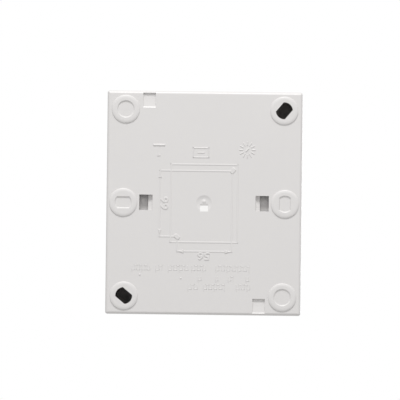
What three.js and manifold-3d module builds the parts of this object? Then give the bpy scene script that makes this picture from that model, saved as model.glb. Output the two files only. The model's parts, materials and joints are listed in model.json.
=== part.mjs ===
// A mechanical room thermostat for a wall: a moulded rear plate, a clip-on cover with a setpoint dial,
// and between them a gas capsule that rocks a lever onto a snap switch.
//
// Millimetres, +Z up. The origin is the middle of the wall plane. The rear faces +Y and the dial faces
// -Y, so a "depth" below is the distance from the wall, measured towards -Y.

import * as THREE from 'three';
import { mergeVertices } from 'three/addons/utils/BufferGeometryUtils.js';
import Module from 'manifold-3d';

const wasm = await Module();
wasm.setup();

// ---------------------------------------------------------------- driving dimensions

const gap = 0.3; // between neighbouring pieces

const plateWidth = 69;
const plateHeight = 79;
const halfWidth = plateWidth / 2;
const halfHeight = plateHeight / 2;
const cornerRadius = 0.8;
const rearBevel = 1.05;

const padRise = 0.5; // the pads stand this far behind the plate
const padRadius = 5;
const plateThickness = 2;
const plateInside = padRise + plateThickness;
const baseDepth = 9.5;
const baseWall = 3;
const lipThickness = 1;
const lipHeight = 1.3; // how far the rear plate's lip stands into the cover

const fixingSpacing = { x: 56, z: 66 };
const middlePadX = 28.6;
const slotRadius = 3;
const slotFlats = 4.2;
const knockOutDepth = 0.42;
const slotAngles = { upper: 130, lower: 40 }; // of the long axis, from +X towards +Z
const pocket = { inner: 17.5, outer: 21.9, low: 33.5, high: 38.5, depth: 0.6 };
const gate = { rim: 2.75, foot: 1, depth: 0.9, nubRadius: 0.5, nubFront: 0.4 };

const windowInner = 18.2;
const windowOuter = 22.9;
const windowTop = 2.8;
const windowBottom = -2.65;
const latchOverlap = 0.6; // how far hook and tongue run past the window, up and down
const tongueTip = 19.75; // x of the edge that covers the hook's toe
const tongueNose = 19.35;
const tongueBack = 18;
const hookToe = { back: 4.2, front: 5.6, outer: 23.4 };
const hookShank = { inner: 20.9, outer: 22.5 };

const caseDepth = 28;
const coverWall = 1.8;
const frontWall = 2.4;
const coverInside = caseDepth - frontWall;
const frontBevel = 2.4;

const dialHeight = 6; // the dial's centre above the middle of the plate
const dialRadius = 20.5;
const dialFront = 33;
const dishRadius = 28.5;
const dishFloor = caseDepth - 1.3;
const hubHole = 6;
const stopRadius = 15; // circle on which the two range stops stand
const stopAngle = 150; // degrees from the top, to each side
const stopPin = { radius: 1.1, tip: 0.8, front: 29.9, socket: 1.4, boss: 2.8 };
const lensRadius = 2;

const frameFloor = 5.8;
const sheet = 1; // thickness of the steel frame
const pivotHeight = 22;
const pivotDepth = 13.4;
const leverDepth = 13;
const leverThickness = 0.8;
const contactHeight = -14; // where the lever meets the switch plunger
const capsuleRadius = 14;
const capsuleBack = 15;
const bridgeDepth = 21.3;
const bridgeThickness = 1.2;
const bridgeScrewX = 13.6;
const frameScrewPlaces = [[-9, 24], [9, -19.5]];
const frameRestPlaces = [[9, 24], [-9, -19.5]];
const bossRadius = 3;
const restRadius = 1.5;
const screwHole = 1.55;

const terminalPitch = 7;
const terminalCount = 4;
const modeSwitch = { x: -25, z: -31, halfWidth: 6, halfHeight: 4, back: 18 };
const modeKey = { halfWidth: 1, halfHeight: 1.25, ridge: 0.6 };
const modeTravel = 4;
const modeSlotHalfHeight = 1.6;
const lamp = { x: 20, z: -30, radius: 2, back: 14 };

// ---------------------------------------------------------------- materials

function material(color, roughness, metalness = 0) {
  return new THREE.MeshStandardMaterial({ color, roughness, metalness });
}

const plastic = material(0xdbd9d8, 0.45);
const dialPlastic = material(0xf0efec, 0.35);
const ringPlastic = material(0xc9c8c6, 0.5);
const darkPlastic = material(0x2b2c2e, 0.5);
const terminalPlastic = material(0xd8d4c8, 0.5);
const stopPlastic = material(0x8c3a32, 0.45);
const lensPlastic = material(0xd8662e, 0.2);
const glass = material(0xd9dcd6, 0.1);
const ceramic = material(0xb7a284, 0.6);
const steel = material(0xa9abad, 0.35, 1);
const brass = material(0xc2a050, 0.3, 1);
const copperFoil = material(0xb9824e, 0.35, 1);
const wireBlack = material(0x26262a, 0.55);
const wireBrown = material(0x6a4030, 0.55);
const wireBlue = material(0x2f4f8f, 0.55);

// ---------------------------------------------------------------- solids

function toSolid(geometry) {
  geometry.deleteAttribute('normal');
  geometry.deleteAttribute('uv');
  const merged = mergeVertices(geometry, 1e-4);
  return new wasm.Manifold(new wasm.Mesh({
    numProp: 3,
    vertProperties: new Float32Array(merged.attributes.position.array),
    triVerts: new Uint32Array(merged.index.array),
  }));
}

function toGeometry(solid) {
  const mesh = solid.getMesh();
  const geometry = new THREE.BufferGeometry();
  geometry.setAttribute('position', new THREE.BufferAttribute(mesh.vertProperties, 3));
  geometry.setIndex(new THREE.BufferAttribute(mesh.triVerts, 1));
  geometry.computeVertexNormals();
  return geometry;
}

function join(...solids) {
  return solids.reduce((whole, solid) => whole.add(solid));
}

function cut(solid, ...cutters) {
  return cutters.reduce((whole, cutter) => whole.subtract(cutter), solid);
}

// A box between two x, two z and two depths.
function block(left, right, bottom, top, near, far) {
  const geometry = new THREE.BoxGeometry(right - left, far - near, top - bottom);
  geometry.translate((left + right) / 2, -(near + far) / 2, (bottom + top) / 2);
  return toSolid(geometry);
}

// An outline drawn in x and z, standing away from the wall from one depth to another. It can be
// turned, counter-clockwise as the dial's side sees it, and then moved in x and z.
function standing(shape, near, far, curveSegments = 8, x = 0, z = 0, degrees = 0) {
  const geometry = new THREE.ExtrudeGeometry(shape, {
    depth: far - near,
    bevelEnabled: false,
    curveSegments,
  });
  geometry.rotateZ(THREE.MathUtils.degToRad(degrees));
  geometry.rotateX(Math.PI / 2);
  geometry.translate(x, -near, z);
  return toSolid(geometry);
}

// A round bar along Y.
function disc(x, z, radius, near, far, segments = 24) {
  const geometry = new THREE.CylinderGeometry(radius, radius, far - near, segments);
  geometry.translate(x, -(near + far) / 2, z);
  return toSolid(geometry);
}

// A turned piece about an axis along Y, its profile given as [radius, depth] pairs.
function turned(x, z, profile, segments = 24) {
  const points = profile.map(([radius, depth]) => new THREE.Vector2(radius, -depth));
  const rising = THREE.ShapeUtils.area(points) > 0 ? points : points.reverse();
  const geometry = new THREE.LatheGeometry([...rising, rising[0].clone()], segments);
  geometry.translate(x, 0, z);
  return toSolid(geometry);
}

// An outline drawn in x and depth, running along Z between two heights. Side -1 mirrors it in x.
function railAlongZ(outline, bottom, top, side = 1) {
  const shape = new THREE.Shape(outline.map(([x, depth]) => new THREE.Vector2(side * x, -depth)));
  const geometry = new THREE.ExtrudeGeometry(shape, { depth: top - bottom, bevelEnabled: false });
  geometry.translate(0, 0, bottom);
  return toSolid(geometry);
}

// An outline drawn in z and depth, running along X over the whole width. It is alike in both halves.
function railAlongX(outline, halfLength) {
  const shape = new THREE.Shape(outline.map(([z, depth]) => new THREE.Vector2(z, -depth)));
  const geometry = new THREE.ExtrudeGeometry(shape, { depth: 2 * halfLength, bevelEnabled: false });
  geometry.translate(0, 0, -halfLength);
  geometry.rotateY(Math.PI / 2);
  return toSolid(geometry);
}

// A round bar along X.
function barAlongX(left, right, radius, depth, z, segments = 16) {
  const geometry = new THREE.CylinderGeometry(radius, radius, right - left, segments);
  geometry.rotateZ(Math.PI / 2);
  geometry.translate((left + right) / 2, -depth, z);
  return toSolid(geometry);
}

// A round bar along Z.
function barAlongZ(bottom, top, radius, x, depth, segments = 16) {
  const geometry = new THREE.CylinderGeometry(radius, radius, top - bottom, segments);
  geometry.rotateX(Math.PI / 2);
  geometry.translate(x, -depth, (bottom + top) / 2);
  return toSolid(geometry);
}

function rectangle(width, height, radius) {
  const x = width / 2;
  const z = height / 2;
  const shape = new THREE.Shape();
  shape.moveTo(-x + radius, -z);
  shape.lineTo(x - radius, -z);
  shape.quadraticCurveTo(x, -z, x, -z + radius);
  shape.lineTo(x, z - radius);
  shape.quadraticCurveTo(x, z, x - radius, z);
  shape.lineTo(-x + radius, z);
  shape.quadraticCurveTo(-x, z, -x, z - radius);
  shape.lineTo(-x, -z + radius);
  shape.quadraticCurveTo(-x, -z, -x + radius, -z);
  return shape;
}

// A rectangle from one depth to another whose corners at the chosen end are rounded, as [across, depth].
function roundedProfile(halfAcross, near, far, bevel, roundNear) {
  const corner = [];
  for (let step = 0; step <= 3; step += 1) {
    const turn = (step / 3) * (Math.PI / 2);
    corner.push([bevel * (1 - Math.sin(turn)), bevel * (1 - Math.cos(turn))]);
  }
  const end = roundNear ? near : far;
  const inward = roundNear ? 1 : -1;
  const right = corner.map(([back, up]) => [halfAcross - back, end + inward * up]);
  const left = right.map(([across, depth]) => [-across, depth]).reverse();
  const square = roundNear ? far : near;
  return [...right, [halfAcross, square], [-halfAcross, square], ...left];
}

// A case whose long edges are rounded at one end and square at the other.
function roundedCase(near, far, bevel, roundNear) {
  const across = railAlongZ(
    roundedProfile(halfWidth, near, far, bevel, roundNear), -halfHeight - 1, halfHeight + 1,
  );
  const upright = railAlongX(
    roundedProfile(halfHeight, near, far, bevel, roundNear), halfWidth + 1,
  );
  const outline = standing(rectangle(plateWidth, plateHeight, cornerRadius), near, far, 3);
  return outline.intersect(across).intersect(upright);
}

// A circle with two flats: its long axis lies at an angle from +X towards +Z.
function doubleD(x, z, radius, flats, degrees, near, far) {
  const half = Math.asin(flats / 2 / radius);
  const shape = new THREE.Shape();
  shape.absarc(0, 0, radius, -half, half, false);
  shape.absarc(0, 0, radius, Math.PI - half, Math.PI + half, false);
  shape.closePath();
  return standing(shape, near, far, 6, x, z, degrees);
}

// A tube along a smooth curve through [x, z, depth] points.
function tube(points, radius, steps, sides = 8) {
  const curve = new THREE.CatmullRomCurve3(
    points.map(([x, z, depth]) => new THREE.Vector3(x, -depth, z)),
  );
  const section = new THREE.Shape();
  for (let side = 0; side < sides; side += 1) {
    const turn = (side / sides) * 2 * Math.PI;
    const x = radius * Math.cos(turn);
    const y = radius * Math.sin(turn);
    if (side === 0) section.moveTo(x, y);
    else section.lineTo(x, y);
  }
  section.closePath();
  return toSolid(new THREE.ExtrudeGeometry(section, { extrudePath: curve, steps }));
}

// A screw driven from the front: shank, round head and a straight slot.
function screw(x, z, tip, underHead, headTop, shankRadius, headRadius, slotDegrees) {
  const slotShape = rectangle(headRadius * 2.2, headRadius * 0.32, 0.01);
  const depth = (headTop - underHead) * 0.5;
  return cut(
    turned(x, z, [
      [0, tip],
      [shankRadius * 0.6, tip],
      [shankRadius, tip + shankRadius * 0.5],
      [shankRadius, underHead],
      [headRadius, underHead],
      [headRadius, headTop - headRadius * 0.2],
      [headRadius * 0.8, headTop],
      [0, headTop],
    ], 14),
    standing(slotShape, headTop - depth, headTop + 1, 1, x, z, slotDegrees),
  );
}

// ---------------------------------------------------------------- assembly

const thermostat = new THREE.Group();

function add(name, solid, finish, parent = thermostat) {
  const mesh = new THREE.Mesh(toGeometry(solid), finish);
  mesh.name = name;
  parent.add(mesh);
}

// ---------------------------------------------------------------- rear plate

const cornerX = fixingSpacing.x / 2;
const cornerZ = fixingSpacing.z / 2;

// The latch tongue beside a window: its sloping back shows in the window, and its nose holds the hook.
const tongueOutline = [
  [windowInner - gap, padRise + 0.4],
  [tongueTip, plateInside - gap],
  [tongueTip, plateInside + 0.4],
  [tongueNose - 0.4, plateInside + 0.8],
  [tongueNose - 0.4, hookToe.front],
  [tongueNose, hookToe.front + 0.4],
  [tongueNose, hookToe.front + 1.6],
  [tongueNose - 0.4, hookToe.front + 2.6],
  [tongueBack, hookToe.front + 2.6],
  [tongueBack, plateInside],
  [windowInner - gap, plateInside],
];

function caseTray() {
  const innerX = halfWidth - baseWall;
  const innerZ = halfHeight - baseWall;
  const lipX = halfWidth - coverWall - gap;
  const lipZ = halfHeight - coverWall - gap;
  const tray = cut(
    roundedCase(padRise, baseDepth, rearBevel, true),
    block(-innerX, innerX, -innerZ, innerZ, plateInside, baseDepth + 1),
  );
  const lip = cut(
    block(-lipX, lipX, -lipZ, lipZ, baseDepth - 1, baseDepth + lipHeight),
    block(
      -lipX + lipThickness, lipX - lipThickness, -lipZ + lipThickness, lipZ - lipThickness,
      baseDepth - 2, baseDepth + lipHeight + 1,
    ),
  );
  return join(tray, lip);
}

// The bowl round the moulding gate, with the nub left standing in it.
function gateDish() {
  const floor = padRise + gate.depth;
  return cut(
    turned(0, 0, [
      [0, -1],
      [gate.rim, -1],
      [gate.rim, padRise],
      [gate.foot, floor],
      [0, floor],
    ]),
    disc(0, 0, gate.nubRadius, padRise + gate.nubFront, floor + 1, 10),
  );
}

function basePlate() {
  let base = caseTray();
  for (const side of [-1, 1]) {
    base = join(base, disc(side * middlePadX, 0, padRadius, 0, 1, 32));
    for (const level of [-1, 1]) {
      base = join(base, disc(side * cornerX, level * cornerZ, padRadius, 0, 1, 32));
    }
  }

  // Blind knock-outs on four pads and open slots on the two that take the fixing screws.
  const through = plateInside + 1;
  base = cut(
    base,
    disc(cornerX, cornerZ, slotRadius, -1, knockOutDepth),
    disc(-cornerX, -cornerZ, slotRadius, -1, knockOutDepth),
    doubleD(middlePadX, 0, slotRadius, slotFlats, 0, -1, knockOutDepth),
    doubleD(-middlePadX, 0, slotRadius, slotFlats, 90, -1, knockOutDepth),
    doubleD(-cornerX, cornerZ, slotRadius, slotFlats, slotAngles.upper, -1, through),
    doubleD(cornerX, -cornerZ, slotRadius, slotFlats, slotAngles.lower, -1, through),
    gateDish(),
  );

  // A pocket near the upper edge and its mirror image through the middle of the plate.
  const pocketFloor = padRise + pocket.depth;
  base = cut(
    base,
    block(pocket.inner, pocket.outer, pocket.low, pocket.high, -1, pocketFloor),
    block(-pocket.outer, -pocket.inner, -pocket.high, -pocket.low, -1, pocketFloor),
  );

  for (const side of [-1, 1]) {
    const [left, right] = [side * windowInner, side * windowOuter].sort((a, b) => a - b);
    base = cut(base, block(left, right, windowBottom, windowTop, -1, through));
    base = join(
      base,
      railAlongZ(tongueOutline, windowBottom - latchOverlap, windowTop + latchOverlap, side),
    );
  }

  // Bosses under the steel frame, ribs under the mode switch and a post under the lamp.
  const footing = plateInside - 0.5;
  for (const [x, z] of frameScrewPlaces) {
    base = join(base, disc(x, z, bossRadius, footing, frameFloor - gap, 20));
    base = cut(base, disc(x, z, screwHole, plateInside + 0.5, frameFloor, 16));
  }
  for (const [x, z] of frameRestPlaces) {
    base = join(base, disc(x, z, restRadius, footing, frameFloor - gap, 12));
  }
  const ribOffset = 0.6 * modeSwitch.halfWidth;
  const ribHalf = 0.75;
  for (const x of [modeSwitch.x - ribOffset, modeSwitch.x + ribOffset]) {
    base = join(base, block(
      x - ribHalf, x + ribHalf, modeSwitch.z - modeSwitch.halfHeight,
      modeSwitch.z + modeSwitch.halfHeight, footing, modeSwitch.back - gap,
    ));
  }
  return join(base, disc(lamp.x, lamp.z, lamp.radius + 0.4, footing, lamp.back - gap, 20));
}

add('base_plate', basePlate(), plastic);

// ---------------------------------------------------------------- front cover

const louvreCount = 9;
const louvrePitch = 5;
const louvreWidth = 2;
const louvreRear = baseDepth + 3.3;
const louvreFront = caseDepth - 6;

// A hook that reaches from the cover's front wall back to the window, with a toe at its end.
const hookOutline = [
  [tongueTip - 0.1, hookToe.back],
  [hookToe.outer, hookToe.back],
  [hookToe.outer, hookToe.front],
  [hookShank.outer, hookToe.front + 0.9],
  [hookShank.outer, coverInside + 0.5],
  [hookShank.inner, coverInside + 0.5],
  [hookShank.inner, hookToe.front],
  [tongueTip - 0.1, hookToe.front],
];

function frontCover() {
  const rim = baseDepth + gap;
  const insideX = halfWidth - coverWall;
  const insideZ = halfHeight - coverWall;
  const beyond = caseDepth + 1;
  let cover = cut(
    roundedCase(rim, caseDepth, frontBevel, false),
    block(-insideX, insideX, -insideZ, insideZ, rim - 1, coverInside),
  );

  // The dial sits in a round dish with a hole for its hub.
  cover = cut(
    cover,
    disc(0, dialHeight, dishRadius, dishFloor, beyond, 48),
    disc(0, dialHeight, hubHole, coverInside - 1, caseDepth, 32),
  );

  // Air slots through the upper and lower walls.
  for (let index = 0; index < louvreCount; index += 1) {
    const x = (index - (louvreCount - 1) / 2) * louvrePitch;
    for (const side of [-1, 1]) {
      const z = side * halfHeight;
      cover = cut(cover, block(
        x - louvreWidth / 2, x + louvreWidth / 2, z - coverWall - 1, z + coverWall + 1,
        louvreRear, louvreFront,
      ));
    }
  }

  // Openings for the mode slider and the indicator lens.
  const slotHalf = modeTravel / 2 + modeKey.halfWidth + 0.9;
  cover = cut(
    cover,
    block(
      modeSwitch.x - slotHalf, modeSwitch.x + slotHalf,
      modeSwitch.z - modeSlotHalfHeight, modeSwitch.z + modeSlotHalfHeight, coverInside - 1, beyond,
    ),
    disc(lamp.x, lamp.z, lensRadius + gap, coverInside - 1, beyond),
  );

  // Hooks at the middle of each long side, and sockets for the range stops.
  for (const side of [-1, 1]) {
    const place = stopPlace(side);
    cover = join(
      cover,
      railAlongZ(hookOutline, windowBottom - latchOverlap, windowTop + latchOverlap, side),
      disc(place.x, place.z, stopPin.boss, coverInside - 1.4, coverInside + 0.5, 20),
    );
    cover = cut(cover, disc(place.x, place.z, stopPin.socket, coverInside - 0.6, caseDepth, 16));
  }
  return cover;
}

function stopPlace(side) {
  const turn = THREE.MathUtils.degToRad(stopAngle);
  return {
    x: side * stopRadius * Math.sin(turn),
    z: dialHeight + stopRadius * Math.cos(turn),
  };
}

add('front_cover', frontCover(), plastic);

const ringInner = dialRadius - 1.5;
const ringOuter = dishRadius - gap;
const ringFront = caseDepth - 0.1;
add('scale_ring', turned(0, dialHeight, [
  [ringInner, dishFloor + gap],
  [ringOuter, dishFloor + gap],
  [ringOuter, ringFront - 0.2],
  [ringOuter - 0.4, ringFront],
  [ringInner, ringFront],
], 48), ringPlastic);

for (const [name, side] of [['range_stop_low', -1], ['range_stop_high', 1]]) {
  const place = stopPlace(side);
  add(name, turned(place.x, place.z, [
    [0, coverInside - 0.2],
    [stopPin.tip, coverInside - 0.2],
    [stopPin.radius, coverInside + 0.2],
    [stopPin.radius, stopPin.front - 0.3],
    [stopPin.tip, stopPin.front],
    [0, stopPin.front],
  ], 16), stopPlastic);
}

const lensNeck = 1.4;
add('indicator_lens', turned(lamp.x, lamp.z, [
  [0, coverInside - 0.8],
  [lensNeck, coverInside - 0.8],
  [lensNeck, coverInside - 0.3],
  [lensRadius, coverInside - 0.3],
  [lensRadius, caseDepth + 0.1],
  [0.8 * lensRadius, caseDepth + 0.5],
  [0.4 * lensRadius, caseDepth + 0.75],
  [0, caseDepth + 0.8],
], 20), lensPlastic);

// ---------------------------------------------------------------- dial

const fluteCount = 30;
const fluteDepth = 0.45;
const dialUnderside = 30.5;
const skirtThickness = 2;
const hubRadius = 4.5;
const hubBack = 24.6;
const boreRadius = 2.3;
const boreFront = 31.5;
const shaftRadius = 2;
const shaftFlat = 1.4; // distance of the flat from the axis
const flatBack = 25.1;
const threadRadius = 1.6;
const threadTip = 19.6;
const collar = { radius: 2.5, back: 21, front: 24 };

function flutedOutline() {
  const points = [];
  const steps = fluteCount * 4;
  for (let step = 0; step < steps; step += 1) {
    const turn = (step / steps) * 2 * Math.PI;
    const radius = dialRadius - (fluteDepth / 2) * (1 - Math.cos(fluteCount * turn));
    points.push(new THREE.Vector2(radius * Math.cos(turn), radius * Math.sin(turn) + dialHeight));
  }
  return new THREE.Shape(points);
}

function setpointDial() {
  const face = dialFront - 0.1;
  const topOverlap = dialUnderside + 0.5;
  let dial = standing(flutedOutline(), caseDepth + 0.2, dialFront - 1);
  dial = join(dial, turned(0, dialHeight, [
    [0, dialFront - 1.5],
    [dialRadius - 0.7, dialFront - 1.5],
    [dialRadius - 0.7, dialFront - 1],
    [dialRadius - 1.7, dialFront - 0.3],
    [dialRadius - 3, face],
    [0, face],
  ], 60));
  dial = cut(
    dial,
    disc(0, dialHeight, dialRadius - skirtThickness, caseDepth - 1, dialUnderside, 48),
  );
  dial = join(dial, disc(0, dialHeight, hubRadius, hubBack, topOverlap, 32));

  // Stop lug under the dial at the top, and the pointer groove on its face above it.
  const lugHalf = 2;
  const lugMiddle = dialHeight + stopRadius;
  dial = join(dial, block(
    -lugHalf, lugHalf, lugMiddle - lugHalf, lugMiddle + lugHalf, caseDepth + 0.4, topOverlap,
  ));
  const groove = { half: 0.5, start: 10, end: 17.5, depth: 0.5 };
  dial = cut(dial, block(
    -groove.half, groove.half, dialHeight + groove.start, dialHeight + groove.end,
    face - groove.depth, dialFront + 1,
  ));

  // Bore for the flatted shaft.
  const flatLevel = dialHeight + shaftFlat + gap;
  const bore = cut(
    disc(0, dialHeight, boreRadius, hubBack - 1, boreFront),
    block(-boreRadius - 1, boreRadius + 1, flatLevel, flatLevel + 4, flatBack + gap, boreFront + 1),
  );
  return cut(dial, bore);
}

add('setpoint_dial', setpointDial(), dialPlastic);

const shaftFront = boreFront - gap;
add('dial_spindle', cut(
  turned(0, dialHeight, [
    [0, threadTip],
    [threadRadius - 0.2, threadTip],
    [threadRadius, threadTip + 0.3],
    [threadRadius, collar.back],
    [collar.radius, collar.back],
    [collar.radius, collar.front],
    [shaftRadius, collar.front + 0.1],
    [shaftRadius, shaftFront - 0.3],
    [shaftRadius - 0.3, shaftFront],
    [0, shaftFront],
  ]),
  block(-3, 3, dialHeight + shaftFlat, dialHeight + 4, flatBack, shaftFront + 1),
), brass);

// ---------------------------------------------------------------- steel frame, bridge and bush

const sideX = 16.2; // outside of the frame's upright sides
const sideHalf = 6; // half the height of those sides
const floorPlate = { halfWidth: 12, bottom: -23, top: 27 };
const ear = { inner: 5.3, halfHeight: 2.4, front: 14.8 };
const pinHole = 1.3;
const switchWindow = { halfWidth: 3.3, bottom: -21, top: -7 };

function mechanismFrame() {
  const low = dialHeight - sideHalf;
  const high = dialHeight + sideHalf;
  const floorTop = frameFloor + sheet;
  const tabTop = bridgeDepth - gap;
  let frame = join(
    block(
      -floorPlate.halfWidth, floorPlate.halfWidth, floorPlate.bottom, floorPlate.top,
      frameFloor, floorTop,
    ),
    block(-sideX, sideX, low, high, frameFloor, floorTop),
  );
  for (const side of [-1, 1]) {
    const wall = [side * sideX, side * (sideX - sheet)].sort((a, b) => a - b);
    const tab = [side * sideX, side * (bridgeScrewX - 2.3)].sort((a, b) => a - b);
    const lobe = [side * ear.inner, side * (ear.inner + sheet)].sort((a, b) => a - b);
    frame = join(
      frame,
      block(wall[0], wall[1], low, high, frameFloor, tabTop),
      block(tab[0], tab[1], dialHeight - 3, dialHeight + 3, tabTop - sheet, tabTop),
      block(
        lobe[0], lobe[1], pivotHeight - ear.halfHeight, pivotHeight + ear.halfHeight,
        frameFloor, ear.front,
      ),
    );
    frame = cut(
      frame,
      disc(side * bridgeScrewX, dialHeight, screwHole, tabTop - sheet - 0.6, tabTop + 1, 16),
    );
  }
  for (const [x, z] of frameScrewPlaces) {
    frame = cut(frame, disc(x, z, screwHole, frameFloor - 1, floorTop + 1, 16));
  }
  return cut(
    frame,
    block(
      -switchWindow.halfWidth, switchWindow.halfWidth, switchWindow.bottom, switchWindow.top,
      frameFloor - 1, floorTop + 1,
    ),
    barAlongX(-ear.inner - 3, ear.inner + 3, pinHole, pivotDepth, pivotHeight),
  );
}

add('mechanism_frame', mechanismFrame(), steel);

for (const [name, index] of [['frame_screw_upper', 0], ['frame_screw_lower', 1]]) {
  const [x, z] = frameScrewPlaces[index];
  const seat = frameFloor + sheet + gap;
  add(name, screw(x, z, 3.3, seat, seat + 1.5, 1.25, 2.4, 35 + 60 * index), steel);
}

const bridgeTop = bridgeDepth + bridgeThickness;
add('bridge_plate', cut(
  standing(
    rectangle(2 * sideX, 2 * sideHalf, 1.5), bridgeDepth, bridgeTop, 3, 0, dialHeight,
  ),
  disc(0, dialHeight, 4.3, bridgeDepth - 1, bridgeTop + 1, 28),
  disc(bridgeScrewX, dialHeight, screwHole, bridgeDepth - 1, bridgeTop + 1, 16),
  disc(-bridgeScrewX, dialHeight, screwHole, bridgeDepth - 1, bridgeTop + 1, 16),
), steel);

for (const [name, side] of [['bridge_screw_left', -1], ['bridge_screw_right', 1]]) {
  const seat = bridgeTop + gap;
  add(name, screw(
    side * bridgeScrewX, dialHeight, 19.2, seat, seat + 1.4, 1.15, 1.9, 20 * side,
  ), steel);
}

const bush = { bore: collar.radius + gap, sleeve: 4, flange: 5.4, front: 23.8 };
add('spindle_bush', turned(0, dialHeight, [
  [bush.bore, bridgeDepth - 0.1],
  [bush.sleeve, bridgeDepth - 0.1],
  [bush.sleeve, bridgeTop + gap],
  [bush.flange, bridgeTop + gap],
  [bush.flange, bush.front - 0.3],
  [bush.flange - 0.4, bush.front],
  [bush.bore, bush.front],
], 28), brass);

// ---------------------------------------------------------------- capsule, lever and switch

// Two pressed shells joined at the rim: rings are pressed into both faces, and the front boss is the
// nut that runs on the spindle's thread.
const leverFront = leverDepth + leverThickness;
const capsuleFront = capsuleBack + 3.8;
const pressed = 0.5; // depth of the pressed rings
const nut = { radius: 3.4, bore: threadRadius + gap, front: 20.4 };
add('sensing_capsule', turned(0, dialHeight, [
  [0, leverFront + gap],
  [1.8, leverFront + gap],
  [2, capsuleBack],
  [5, capsuleBack],
  [6, capsuleBack + pressed],
  [8, capsuleBack + pressed],
  [9, capsuleBack],
  [11.5, capsuleBack + 0.2],
  [capsuleRadius - 1, capsuleBack + 1.5],
  [capsuleRadius, capsuleBack + 1.6],
  [capsuleRadius, capsuleBack + 2.2],
  [capsuleRadius - 1, capsuleBack + 2.3],
  [11.5, capsuleFront - 0.2],
  [9, capsuleFront],
  [8, capsuleFront - pressed],
  [6, capsuleFront - pressed],
  [5, capsuleFront],
  [nut.radius, capsuleFront],
  [nut.radius, nut.front],
  [nut.bore, nut.front],
  [nut.bore, capsuleFront + gap],
  [0, capsuleFront + gap],
], 26), copperFoil);

const lever = { halfWidth: 4.2, barrel: 2, barrelHalf: 4.9 };
add('switching_lever', cut(
  join(
    block(
      -lever.halfWidth, lever.halfWidth, contactHeight - 3, pivotHeight - 1, leverDepth, leverFront,
    ),
    barAlongX(-lever.barrelHalf, lever.barrelHalf, lever.barrel, pivotDepth, pivotHeight),
  ),
  barAlongX(-lever.barrelHalf - 1, lever.barrelHalf + 1, pinHole, pivotDepth, pivotHeight),
  disc(0, contactHeight, 1.5, leverDepth - 1, leverFront + 1, 16),
), steel);

const pinHalf = ear.inner + 1.9;
add('lever_pivot_pin', barAlongX(-pinHalf, pinHalf, pinHole - gap, pivotDepth, pivotHeight), steel);

const plungerTop = 11.7;
add('calibration_screw', screw(
  0, contactHeight, plungerTop + gap, leverFront + gap, leverFront + gap + 1.1, 1.2, 2, 50,
), brass);

const spring = { turns: 4, stepsPerTurn: 10, radius: 2.6, wire: 0.35, back: 7.6, front: 12 };
const springSteps = spring.turns * spring.stepsPerTurn;
const springPoints = [];
for (let step = 0; step <= springSteps; step += 1) {
  const turn = (step / spring.stepsPerTurn) * 2 * Math.PI;
  springPoints.push([
    spring.radius * Math.cos(turn),
    dialHeight + spring.radius * Math.sin(turn),
    spring.back + ((spring.front - spring.back) * step) / springSteps,
  ]);
}
add('range_spring', tube(springPoints, spring.wire, springSteps, 6), steel);

const snapSwitch = { halfWidth: 2.9, halfHeight: 6.4, back: 4, front: 10.6, holeOffset: 4.6 };
add('snap_switch_body', cut(
  join(
    block(
      -snapSwitch.halfWidth, snapSwitch.halfWidth, contactHeight - snapSwitch.halfHeight,
      contactHeight + snapSwitch.halfHeight, snapSwitch.back, snapSwitch.front,
    ),
    disc(0, contactHeight, 1.9, snapSwitch.front - 0.5, snapSwitch.front + 0.3, 20),
  ),
  disc(0, contactHeight, 1.2, 8.2, snapSwitch.front + 1, 16),
  barAlongX(-4, 4, 0.6, 6.2, contactHeight - snapSwitch.holeOffset, 12),
  barAlongX(-4, 4, 0.6, 6.2, contactHeight + snapSwitch.holeOffset, 12),
), darkPlastic);

const plunger = { radius: 0.9, back: 9.3 };
add('snap_switch_plunger', turned(0, contactHeight, [
  [0, plunger.back],
  [plunger.radius, plunger.back],
  [plunger.radius, plungerTop - 0.3],
  [plunger.radius - 0.3, plungerTop],
  [0, plungerTop],
], 16), stopPlastic);

// ---------------------------------------------------------------- terminals

const terminalFront = 13;
const terminalTop = -26.5;
const terminalBottom = -36;
const terminalHalf = 15;
const wellMiddle = (terminalTop + terminalBottom) / 2;
const well = { halfWidth: 2.6, halfHeight: 2.7, back: 4.4 };
const wireLevel = 6.8;
const wireHole = 1.4;

function terminalX(index) {
  return (index - (terminalCount - 1) / 2) * terminalPitch;
}

let terminalBlock = block(
  -terminalHalf, terminalHalf, terminalBottom, terminalTop, plateInside + gap, terminalFront,
);
for (let index = 0; index < terminalCount; index += 1) {
  const x = terminalX(index);
  const clampHalf = well.halfWidth - 0.4;
  terminalBlock = cut(
    terminalBlock,
    block(
      x - well.halfWidth, x + well.halfWidth, wellMiddle - well.halfHeight,
      wellMiddle + well.halfHeight, well.back, terminalFront + 1,
    ),
    barAlongZ(terminalBottom - 1, terminalTop + 1, wireHole, x, wireLevel, 12),
  );
  add(`terminal_clamp_${index + 1}`, cut(
    block(
      x - clampHalf, x + clampHalf, wellMiddle - well.halfHeight + 0.4,
      wellMiddle + well.halfHeight - 0.4, well.back + 0.4, 10.3,
    ),
    barAlongZ(wellMiddle - 3, wellMiddle + 3, 1.2, x, wireLevel, 12),
    disc(x, wellMiddle, 1.5, wireLevel, 11, 16),
  ), brass);
  add(`terminal_screw_${index + 1}`, screw(
    x, wellMiddle, 8, 10.6, 12.4, 1.2, 2.1, 15 + 40 * index,
  ), steel);
}
add('terminal_block', terminalBlock, terminalPlastic);

// ---------------------------------------------------------------- mode switch and lamp

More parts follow.
